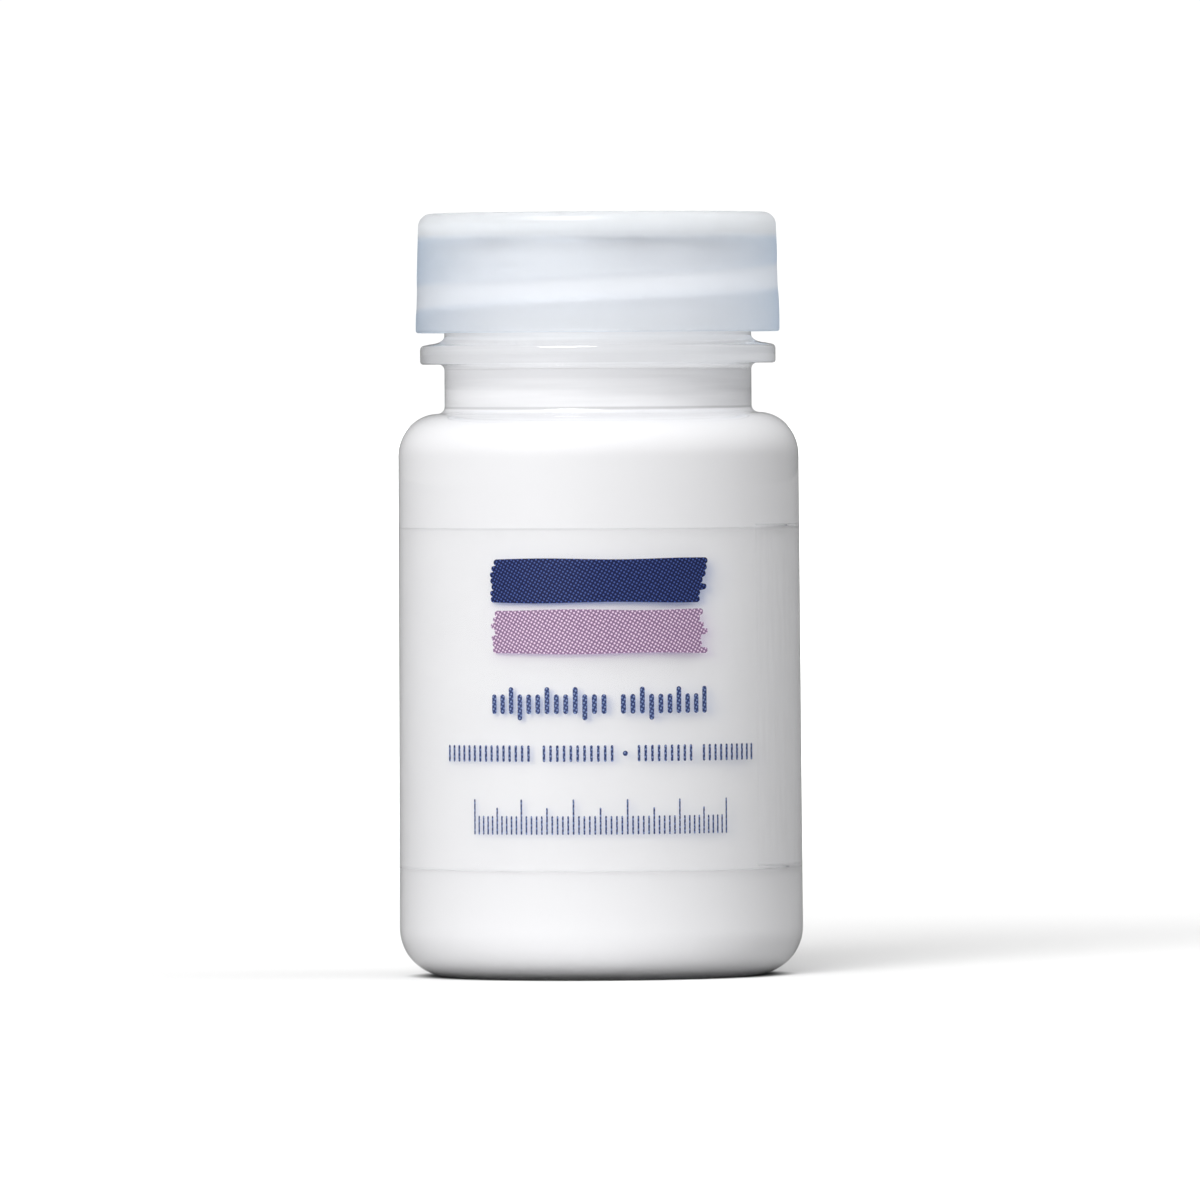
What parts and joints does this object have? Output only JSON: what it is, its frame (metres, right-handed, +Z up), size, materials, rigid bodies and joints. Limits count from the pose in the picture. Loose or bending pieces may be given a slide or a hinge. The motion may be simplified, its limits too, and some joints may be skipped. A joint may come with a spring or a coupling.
{
  "type": "paint jar",
  "caption": "Small round clear plastic jar of white paint with a wrap-round film label, a necked mouth with a transfer bead, and a milky one-turn screw cap with a liner.",
  "frame": {"origin": "on the jar's axis, in the plane that it stands on", "axes": "+Z up along the jar's axis, -Y towards the printed front of the label"},
  "size_m": [0.0394, 0.0394, 0.074],
  "materials": {
    "jar_plastic": "clear, glossy, blow moulded",
    "paint": "wet white acrylic paint",
    "label_film": "clear film, printed in dark blue and mauve",
    "liner_foam": "white foamed liner",
    "cap_plastic": "natural, milky, satin"
  },
  "bodies": {
    "bottle": {"jar": "jar_plastic", "paint": "paint", "label": "label_film"},
    "liner_body": {"cap_liner": "liner_foam"},
    "cap_body": {"cap": "cap_plastic"}
  },
  "joints": [
    {"name": "cap_lift", "type": "slide", "parent": "bottle", "child": "liner_body", "axis": [0, 0, 1], "range_m": [0, 0.0159]},
    {"name": "cap_turn", "type": "hinge", "parent": "liner_body", "child": "cap_body", "pos_m": [0, 0, 0.0624], "axis": [0, 0, 1], "range_deg": [0, 1350]}
  ],
  "couplings": [
    {"joint": "cap_lift", "follows": "cap_turn", "m_per_rad": 0.00067375}
  ]
}
